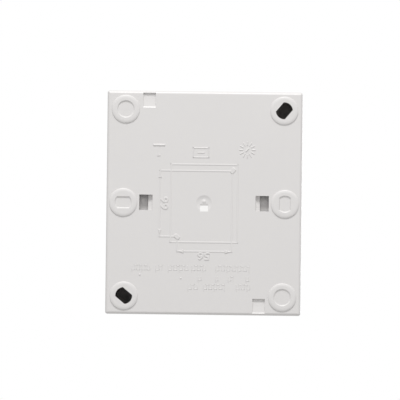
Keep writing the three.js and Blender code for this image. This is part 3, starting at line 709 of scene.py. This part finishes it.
def build_sketch(material):
    """The moulded drilling sketch: the case's outline, the two holes and their spacings, with two pips, a
    date wheel and plain stand-ins for the mark and the words. Its lines are laid out as seen from behind,
    so their x is mirrored on the way to the part."""
    left, right, top, bottom = -11.75, 11.85, 13.65, -13.85
    hole_left, hole_right, hole_top, hole_bottom = -9.4, 9.85, 11.4, -11.9
    up_line, across_line = -15.6, -17.1
    lines = [
        (left, top, right, top), (right, top, right, bottom),
        (right, bottom, left, bottom), (left, bottom, left, top),
        (up_line, hole_top, hole_right - 0.6, hole_top), (up_line, hole_top, up_line, hole_bottom),
        (up_line, hole_bottom, hole_left - 1, hole_bottom),
        (hole_right, hole_top - 0.6, hole_right, across_line),
        (hole_left, hole_bottom - 0.6, hole_left, across_line),
        (hole_left, across_line, hole_right, across_line),
    ]
    pieces = [bar(-x1, z1, -x2, z2) for x1, z1, x2, z2 in lines]
    pieces.append(bar(17.9, 20.4, 14.3, 20.4, 0.8, 0.28))

    # Arrowheads at both ends of the two spacing lines, and a small one on its own.
    arrow, half, rise = 2.2, 0.62, 0.24
    for end, inward in ((hole_left, 1), (hole_right, -1)):
        tip = end + inward * 0.2
        back = tip + inward * arrow
        pieces.append(flat_mark([
            (-tip, across_line), (-back, across_line + half), (-back, across_line - half),
        ], rise))
    for end, inward in ((hole_top, -1), (hole_bottom, 1)):
        tip = end + inward * 0.4
        back = tip + inward * arrow
        pieces.append(flat_mark([
            (-up_line, tip), (-up_line + half, back), (-up_line - half, back),
        ], rise))
    pieces.append(flat_mark([(16.2, 17.7), (15.5, 16.5), (16.9, 16.5)], 0.16))

    # The two holes, flattened like the real ones.
    for x, z, degrees in ((10.1, 11.6, 50), (-9.45, -11.95, 140)):
        pieces.append(flat_mark(double_d(-x, z, 1.2, 1.5, 180 - degrees, 4), rise))

    pieces.append(numeral("56", -0.1, -18.6, 2.7, 180))
    pieces.append(numeral("66", 13.9, -0.15, 2.75, 90))

    # Two small pips under the first row of words.
    for x, z in ((22.4, -25.5), (7.9, -26.6)):
        pieces.append(flat_mark(circle(x, z, 0.4, 12), 0.2))

    # A date wheel: a ring of twelve short ticks round a hand.
    wheel_x, wheel_z = -15.1, 19.0
    tick_start, tick_end = 1.75, 2.75
    for month in range(12):
        turn = math.radians(30 * month)
        across, up = math.cos(turn), math.sin(turn)
        pieces.append(bar(
            wheel_x + tick_start * across, wheel_z + tick_start * up,
            wheel_x + tick_end * across, wheel_z + tick_end * up, 0.5, 0.19,
        ))
    pieces.append(bar(wheel_x + 0.45, wheel_z - 0.5, wheel_x - 0.45, wheel_z + 0.5, 0.6, 0.25))

    # A plain framed bar stands where a mark would be.
    left, right, top, bottom = -1.4, 3.9, 19.5, 16.2
    middle = (top + bottom) / 2
    for x1, z1, x2, z2 in (
        (left, top, right, top), (right, top, right, bottom), (right, bottom, left, bottom),
        (left, bottom, left, top), (0.2, middle, 2.3, middle),
    ):
        pieces.append(bar(x1, z1, x2, z2, 0.5, 0.16))
    pieces.extend(blank_words())
    sketch = merge("drilling_sketch", pieces)
    for face in sketch.data.polygons:
        face.use_smooth = False
    place(sketch, material, body="base")


def blank_words():
    """Rows of plain square waves, in the place and rhythm of moulded words. A row has a level, a height
    and the start and end of each word, as seen from behind; every fourth stroke is longer."""
    rows = (
        (-23.3, 2.1, ((-25.2, -18), (-16.8, -13.5), (-12.3, -4.5), (-4, 1.8), (4.5, 17.2))),
        (-26.9, 1.8, ((-1.75, 0.35), (4.5, 5.9), (8.9, 11.5), (15.2, 17))),
        (-29.9, 2.1, ((-5.25, -1), (0.25, 8.5), (11.75, 17.5))),
    )
    pitch, width, rise = 0.95, 0.36, 0.09
    pieces = []
    for level, height, words in rows:
        top = level + height / 2
        low = level - height / 5
        lowest = level - height / 2
        for start, end in words:
            count = max(round((end - start) / pitch), 2)
            step = (end - start) / count
            for index in range(count):
                x = -(start + index * step)
                foot = low if index % 4 else lowest
                pieces.append(bar(x, foot, x, top, width, rise))
                side = top if index % 2 else low
                if index + 1 < count:
                    pieces.append(bar(x, side, x - step, side, width, rise))
    return pieces


# ---------------------------------------------------------------- front cover

def build_cover(material):
    """The front shell with the dish for the ring, louvres, slot and lens hole, and inside it the two
    latch hooks and the sockets of the range stops."""
    rim = BASE_RIM + SEAM
    front_edge = 2.4
    inside = CASE_FRONT - 2.4
    through = (inside - OVERSHOOT, CASE_FRONT + OVERSHOOT)
    cover = rounded_case("front_shell", rim, CASE_FRONT, front_edge, False, 10)
    inner_x, inner_z = HALF_WIDTH - WALL, HALF_HEIGHT - WALL
    combine(cover, [
        box("cavity", -inner_x, inner_x, -inner_z, inner_z, rim - OVERSHOOT, inside),
    ], "DIFFERENCE")

    dish_floor = CASE_FRONT - 1.3
    dish_radius = (RING["x"][1] - RING["x"][0]) / 2 + 0.3
    lens_hole_radius, hub_hole_radius = 2.3, 6
    cutters = [
        prism("dish", circle(0, DIAL_AXIS, dish_radius, 160), dish_floor, CASE_FRONT + OVERSHOOT),
        prism("lens_hole", circle(*middle_of(LENS), lens_hole_radius, 48), *through),
    ]
    louvre_count, louvre_pitch, louvre_width = 9, 5.0, 2.0
    for index in range(louvre_count):
        x = (index - louvre_count // 2) * louvre_pitch
        for side in (-1, 1):
            cutters.append(louvre(x, side * HALF_HEIGHT, louvre_width, rim + 3, CASE_FRONT - 6))
    low, high = SLIDER["x"]
    middle = middle_of(SLIDER)[1]
    travel, slot_gap, slot_half = 4.0, 0.9, 1.6
    cutters.append(box(
        "slot", low - slot_gap, high + travel + slot_gap, middle - slot_half, middle + slot_half,
        *through,
    ))
    combine(cover, cutters, "DIFFERENCE")
    combine(cover, [
        prism("hub", circle(0, DIAL_AXIS, hub_hole_radius, 64), inside - OVERSHOOT, CASE_FRONT),
    ], "DIFFERENCE")

    bite = 0.5  # how far what stands inside the cover runs into its front wall
    boss_radius, boss_height = 2.8, 1.4
    socket_radius, socket_depth = 1.4, 0.6
    added = []
    sockets = []
    for side, stop in ((-1, "range_stop_low"), (1, "range_stop_high")):
        added.append(hook(side, inside + bite))
        x, z = middle_of(node_box(stop))
        added.append(prism("boss", circle(x, z, boss_radius, 40), inside - boss_height, inside + bite))
        sockets.append(prism("socket", circle(x, z, socket_radius, 32), inside - socket_depth, CASE_FRONT))
    combine(cover, added, "UNION")
    combine(cover, sockets, "DIFFERENCE")
    soften(cover, 0.16)
    place(cover, material, "front_cover")


def hook(side, end):
    """A latch hook on a shank from the cover's front wall. Its toe faces the base's tongue across a
    small gap, so the cover comes straight off."""
    heel = 5.6
    shank = [(23.4, heel), (22.5, 6.5), (22.5, end), (20.9, end), (20.9, heel)]
    loops = []
    for level, toe in ((-3.3, 3.5), (3.4, 4.4)):
        outline = [(19.65, heel), (19.65, toe), (23.4, toe)] + shank
        loops.append([point(side * x, depth, level) for x, depth in outline])
    return loft("hook", loops)


def louvre(x, z, width, near, far):
    """A slot with round ends through an upper or lower wall."""
    half = width / 2
    reach = 3
    outline = []
    for middle, start in ((far - half, 0), (near + half, 180)):
        for step in range(9):
            turn = math.radians(start + 180 * step / 8)
            outline.append((x + half * math.cos(turn), middle + half * math.sin(turn)))
    return loft("louvre", [
        [point(across, depth, level) for across, depth in outline] for level in (z - reach, z + reach)
    ])


# ---------------------------------------------------------------- dial, ring and small controls

SWEEP = 270  # degrees from the lowest temperature to the highest
COLDEST, HOTTEST = 5, 30
MAJOR_STEP = 5
PRINT_RISE = 0.05


def scale_turn(value):
    """The angle of a temperature, clockwise from the top."""
    return math.radians(SWEEP * ((value - COLDEST) / (HOTTEST - COLDEST) - 0.5))


def on_ring(value, radius):
    """The place of a temperature on a circle round the dial's axis."""
    turn = scale_turn(value)
    return radius * math.sin(turn), DIAL_AXIS + radius * math.cos(turn)


def build_ring():
    """The sunk ring round the dial, with its ticks and figures as thin print."""
    outer = (RING["x"][1] - RING["x"][0]) / 2
    near, far = RING["depth"]
    inner = 19.0
    ring = revolve("ring", [
        (inner, near), (outer, near), (outer, far - 0.25), (outer - 0.12, far - 0.08),
        (outer - 0.35, far), (inner, far),
    ], 180, 0, DIAL_AXIS)
    soften(ring, 0)
    place(ring, moulded("ring_plastic", (0.56, 0.56, 0.55), 0.5), "scale_ring")

    ink = shaded("scale_ink", (0.045, 0.05, 0.06), 0.6, 0.3, 0.002)
    tick_start, figure_radius, figure_height = 21.2, 25.5, 2.5
    unit_radius, unit_height = 24.6, 2.3
    marks = []
    top = far + PRINT_RISE
    for value in range(COLDEST, HOTTEST + 1):
        major = value % MAJOR_STEP == 0
        tick_end, half = (23.2, 0.2) if major else (22.2, 0.11)
        x1, z1 = on_ring(value, tick_start)
        x2, z2 = on_ring(value, tick_end)
        turn = scale_turn(value)
        side_x, side_z = half * math.cos(turn), -half * math.sin(turn)
        marks.append(prism("tick", [
            (x1 - side_x, z1 - side_z), (x1 + side_x, z1 + side_z),
            (x2 + side_x, z2 + side_z), (x2 - side_x, z2 - side_z),
        ], far - SKIN, top))
        if major:
            x, z = on_ring(value, figure_radius)
            marks.append(printed(str(value), x, z, figure_height, far, top))
    marks.append(printed("°C", 0, DIAL_AXIS - unit_radius, unit_height, far, top))
    scale = merge("scale_print", marks)
    place(scale, ink, body="cover")


def printed(text, x, z, height, near, far):
    """Thin flat figures on the front, read from the front."""
    curve = text_curve("printed", text, height)
    curve.extrude = (far - near + SKIN) / 2 * MM
    letter = new_object("printed", curve)
    upright = Matrix.Rotation(math.radians(90), 4, "X")
    letter.matrix_world = Matrix.Translation(point(x, (near + far - SKIN) / 2, z)) @ upright
    return as_mesh(letter)


def build_dial():
    """The knob: a fluted skirt round a slightly dished face with a raised rim, and a hub and bore behind.
    The profile has radius, depth and how much of the flutes shows, from the face's middle to the bore's."""
    radius = (DIAL["x"][1] - DIAL["x"][0]) / 2
    near, far = DIAL["depth"]
    skirt_near = CASE_FRONT + 0.2
    flutes, flute_depth, flute_sharpness = 30, 0.45, 1.6
    per_flute = 12
    skirt_inside, hub_radius, bore_radius = 18.5, 4.5, 2.3
    hollow_end, bore_end, edge = 30.5, 31.5, 0.3
    profile = [
        (0, far - 0.75, 0), (8, far - 0.73, 0), (16.6, far - 0.65, 0), (17.2, far - 0.63, 0),
        (17.4, far - 0.55, 0), (17.5, far - 0.25, 0), (17.65, far - 0.1, 0), (17.95, far - 0.02, 0),
        (18.4, far, 0), (19.0, far - 0.12, 0.1), (19.7, far - 0.5, 0.4),
        (20.2, far - 1.1, 0.8), (radius, far - 1.9, 1), (radius, skirt_near + 0.5, 1),
        (radius - 0.15, skirt_near + 0.15, 1), (radius - 0.45, skirt_near, 0.8),
        (skirt_inside + 0.2, skirt_near, 0), (skirt_inside, skirt_near + edge, 0),
        (skirt_inside, hollow_end - edge, 0), (skirt_inside - edge, hollow_end, 0),
        (hub_radius + edge, hollow_end, 0), (hub_radius, hollow_end - edge, 0),
        (hub_radius, near + edge, 0), (hub_radius - edge, near, 0),
        (bore_radius + 0.2, near, 0), (bore_radius, near + 0.2, 0),
        (bore_radius, bore_end, 0), (0, bore_end, 0),
    ]
    shape = bmesh.new()
    rings = []
    count = flutes * per_flute
    for reach, depth, fluted in profile:
        ring = []
        for step in range(count if reach else 1):
            turn = 2 * math.pi * step / count
            dip = fluted * flute_depth * (0.5 - 0.5 * math.cos(flutes * turn)) ** flute_sharpness
            across, up = (reach - dip) * math.sin(turn), (reach - dip) * math.cos(turn)
            ring.append(shape.verts.new(point(across, depth, DIAL_AXIS + up)))
        rings.append(ring)
    for ring, following in zip(rings, rings[1:]):
        join_rings(shape, ring, following, count)
    knob = from_bmesh("knob", shape)
    for face in knob.data.polygons:
        face.use_smooth = True
    knob.data.set_sharp_from_angle(angle=math.radians(60))
    material = moulded("dial_plastic", (0.80, 0.79, 0.765), 0.38, 0.3, 0.0015)
    place(knob, material, "setpoint_dial")

    half = 0.55
    tail, shoulder, tip = DIAL_AXIS + 9, DIAL_AXIS + 16, DIAL_AXIS + 16.9
    pointer = prism("pointer", [
        (-half, tail), (half, tail), (half, shoulder), (0, tip), (-half, shoulder),
    ], far - 1.2, far - 0.3)
    soften(pointer, 0.12)
    place(pointer, shaded("pointer_ink", (0.42, 0.035, 0.02), 0.4, 0.3, 0.003), body="dial")

    # The lug under the knob that meets the range stops.
    lug_half, lug_height = 2, DIAL_AXIS + 15
    lug = box(
        "lug", -lug_half, lug_half, lug_height - lug_half, lug_height + lug_half,
        CASE_FRONT + 0.4, hollow_end + edge,
    )
    soften(lug, 0.2)
    place(lug, material, body="dial")


def build_slider():
    """The slide key with a valley across its top, and the printed signs beside its slot."""
    low_x, high_x = SLIDER["x"]
    low_z, high_z = SLIDER["z"]
    near, far = SLIDER["depth"]
    x, z = middle_of(SLIDER)
    key = box("key", low_x, high_x, low_z, high_z, near, far)
    outline = (
        (-0.6, far + 0.1), (-0.45, far - 0.35), (-0.25, far - 0.55), (0.25, far - 0.55),
        (0.45, far - 0.35), (0.6, far + 0.1),
    )
    combine(key, [loft("valley", [
        [point(x + across, depth, level) for across, depth in outline]
        for level in (low_z - OVERSHOOT, high_z + OVERSHOOT)
    ])], "DIFFERENCE")
    soften(key, 0.14, 3)
    place(key, moulded("control_plastic", (0.05, 0.052, 0.056), 0.45, 0.25), "mode_switch_slider")

    # A ring for off and a bar for on.
    ink = shaded("sign_ink", (0.07, 0.075, 0.085), 0.6, 0.3, 0.002)
    under, over = CASE_FRONT - SKIN, CASE_FRONT + PRINT_RISE
    hole, rim = 0.55, 0.85
    ring_x = low_x - 2.6
    bar_left, bar_right = high_x + 6.4, high_x + 6.8
    ring = revolve("off", [(hole, under), (rim, under), (rim, over), (hole, over)], 32, ring_x, z)
    line = box("on", bar_left, bar_right, z - rim, z + rim, under, over)
    place(merge("switch_signs", [ring, line]), ink, body="cover")


def build_lens():
    """The lamp's lens: a narrow foot, a collar and a low dome."""
    near, far = LENS["depth"]
    radius = (LENS["x"][1] - LENS["x"][0]) / 2
    foot_radius, foot_height = 1.4, 0.5
    dome, steps = 0.8, 8
    collar = near + foot_height
    profile = [(0, near), (foot_radius, near), (foot_radius, collar), (radius, collar)]
    profile.append((radius, far - dome))
    for step in range(1, steps + 1):
        turn = (step / steps) * math.pi / 2
        profile.append((radius * math.cos(turn), far - dome + dome * math.sin(turn)))
    lens = revolve("lens", profile, 64, *middle_of(LENS))
    soften(lens, 0)
    place(lens, clear("lens", (0.8, 0.13, 0.02), 0.12, 0.35), "indicator_lens")


# ---------------------------------------------------------------- mechanism

def build_mechanism():
    """Every other node keeps its shape and gets its own finish, and some finishes come with softened
    edges."""
    finishes = {
        "steel": metal("zinc_steel", (0.58, 0.59, 0.60), 0.34, (1, 1, 5)),
        "brass": metal("turned_brass", (0.74, 0.53, 0.23), 0.28, (5, 1, 5)),
        "capsule_metal": metal("bronze_foil", (0.70, 0.44, 0.26), 0.26),
        "stop_plastic": moulded("stop_plastic", (0.36, 0.045, 0.035), 0.4),
        "dark_plastic": moulded("phenolic", (0.03, 0.031, 0.034), 0.5, 0.25),
        "terminal_plastic": moulded("polyamide", (0.62, 0.60, 0.53), 0.45),
        "lamp_glass": clear("lamp_glass", (0.9, 0.92, 0.9), 0.05, 0.85),
        "ceramic": shaded("ceramic", (0.46, 0.35, 0.22), 0.7, 0.15, 0.01, 0.06),
        "wire_black": moulded("wire_black", (0.02, 0.02, 0.022), 0.5, 0.5, 0.003),
        "wire_brown": moulded("wire_brown", (0.17, 0.06, 0.03), 0.5, 0.5, 0.003),
        "wire_blue": moulded("wire_blue", (0.03, 0.08, 0.32), 0.5, 0.5, 0.003),
    }
    rebuilt = (
        "base_plate", "front_cover", "scale_ring", "setpoint_dial", "mode_switch_slider",
        "indicator_lens",
    )
    soft_edges = {"steel": 0.08, "brass": 0.06, "dark_plastic": 0.12, "terminal_plastic": 0.15}
    for node, source in frame["nodes"].items():
        if node in rebuilt:
            continue
        slot = NODE_SLOT[node]
        copy = new_object(node + "_finished", source.data.copy())
        soften(copy, soft_edges.get(slot, 0), 2, 38)
        place(copy, finishes[slot], node)


# ---------------------------------------------------------------- scene

build_camera()
build_light()
build_floor()
case_plastic = build_base()
build_sketch(case_plastic)
build_cover(case_plastic)
build_ring()
build_dial()
build_slider()
build_lens()
build_mechanism()
